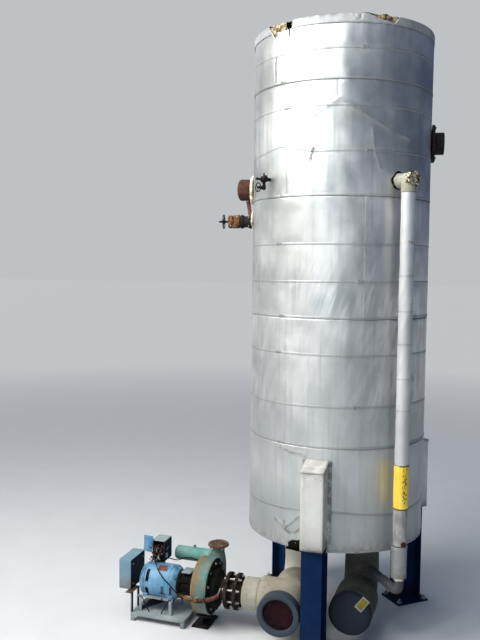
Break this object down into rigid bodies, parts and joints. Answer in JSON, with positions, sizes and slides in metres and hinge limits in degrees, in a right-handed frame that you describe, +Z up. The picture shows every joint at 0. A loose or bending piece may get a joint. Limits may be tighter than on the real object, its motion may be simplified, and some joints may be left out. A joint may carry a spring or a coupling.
{
  "type": "vertical storage tank",
  "caption": "Tall insulated refrigerant receiver on beam legs: jacketed vessel with capped nozzles, level pipe, suction headers and a pump set on one header.",
  "frame": {"origin": "middle of the object's underside, on the floor that the feet stand on", "axes": "+Z up along the vessel; -Y towards the near leg, between the two suction headers; the pump set lies towards -X"},
  "size_m": [2.3954, 1.553, 4.645],
  "materials": {
    "jacket_aluminium": "weathered bright sheet with strap bands",
    "weathered_sheet": "dull crumpled sheet",
    "foam": "aged rigid foam",
    "vessel_steel": "primed plate",
    "leg_blue": "chalky gloss paint with rust at the edges",
    "cover_white": "worn white paint on sheet",
    "mastic_wrap": "mastic on canvas, cracked",
    "white_wrap": "painted canvas wrap",
    "rusty_steel": "rusted",
    "dark_steel": "dark, oily and rusted",
    "valve_ochre": "ochre rust on casting",
    "wheel_iron": "rusted iron",
    "primer_red": "red primer",
    "blind_red": "dark red primer",
    "pump_teal": "flaking teal paint over rust",
    "motor_blue": "light blue enamel, stained",
    "base_grey": "grey paint, dusty"
  },
  "bodies": {
    "frame": {"jacket_course_1": "jacket_aluminium", "jacket_course_2": "jacket_aluminium", "jacket_course_3": "jacket_aluminium", "jacket_course_4": "jacket_aluminium", "jacket_course_5": "jacket_aluminium", "level_pipe_jacket": "jacket_aluminium", "roof_sheet": "weathered_sheet", "underside_sheet": "weathered_sheet", "level_pipe_lower": "weathered_sheet", "left_header_sleeve": "weathered_sheet", "right_header_cap": "weathered_sheet", "side_insulation": "foam", "top_insulation": "foam", "bottom_insulation": "foam", "upper_nozzle_collar": "foam", "vessel_shell": "vessel_steel", "top_head": "vessel_steel", "bottom_head": "vessel_steel", "near_leg": "leg_blue", "right_leg": "leg_blue", "left_leg": "leg_blue", "near_foot_plate": "leg_blue", "right_foot_plate": "leg_blue", "left_foot_plate": "leg_blue", "near_leg_cover": "cover_white", "right_leg_cover": "cover_white", "left_leg_cover": "cover_white", "level_pipe_elbow": "mastic_wrap", "level_pipe_inlet": "mastic_wrap", "left_drop_leg": "mastic_wrap", "left_header": "mastic_wrap", "right_drop_leg": "mastic_wrap", "right_header": "mastic_wrap", "suction_branch": "white_wrap", "upper_nozzle": "rusty_steel", "branch_flange": "rusty_steel", "discharge_flange": "rusty_steel", "right_nozzle": "dark_steel", "side_valve_body": "dark_steel", "volute_bracket": "dark_steel", "coupling_housing": "dark_steel", "side_valve_bonnet": "valve_ochre", "drain_pipe": "valve_ochre", "gauge_valve": "wheel_iron", "link_pipe": "primer_red", "left_header_blind": "blind_red", "pump_volute": "pump_teal", "oil_reservoir": "pump_teal", "pump_motor": "motor_blue", "junction_box": "motor_blue", "drive_guard": "motor_blue", "pump_base": "base_grey"},
    "side_valve_wheel": {"side_valve_handwheel": "wheel_iron"},
    "gauge_valve_wheel": {"gauge_valve_wheel": "wheel_iron"}
  },
  "joints": [
    {"name": "side_valve_turn", "type": "hinge", "parent": "frame", "child": "side_valve_wheel", "pos_m": [-0.50257, -0.07692, 3.168], "axis": [-0.9848, -0.1736, 0], "range_deg": [0, 1350]},
    {"name": "gauge_valve_turn", "type": "hinge", "parent": "frame", "child": "gauge_valve_wheel", "pos_m": [-0.07424, -0.54054, 3.385], "axis": [-0.6157, -0.788, 0], "range_deg": [0, 1350]}
  ]
}
